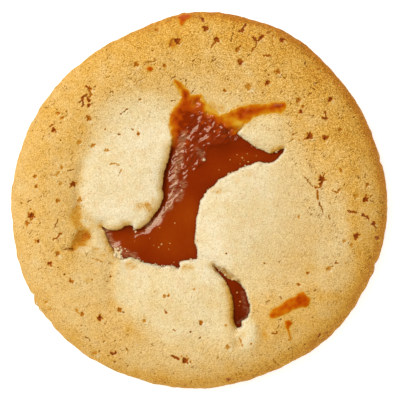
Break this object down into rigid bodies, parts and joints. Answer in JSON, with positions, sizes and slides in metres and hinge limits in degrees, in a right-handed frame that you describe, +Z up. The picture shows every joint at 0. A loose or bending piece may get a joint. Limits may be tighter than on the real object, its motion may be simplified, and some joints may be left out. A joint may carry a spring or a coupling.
{
  "type": "caramel cookie",
  "caption": "Round baked cookie with a domed golden rim and a pale torn centre, whose soft flaps lie round an open pool of glossy caramel.",
  "frame": {"origin": "centre of the round base, on the surface the cookie lies on", "axes": "+Z up out of the torn top; +Y towards the caramel's pointed spur, the top of the picture; +X to the right of the picture"},
  "size_m": [0.0902, 0.0904, 0.0139],
  "materials": {
    "dough": "matte baked crust",
    "caramel": "glossy soft caramel"
  },
  "bodies": {
    "root": {"biscuit": "dough", "caramel": "caramel"}
  },
  "joints": []
}
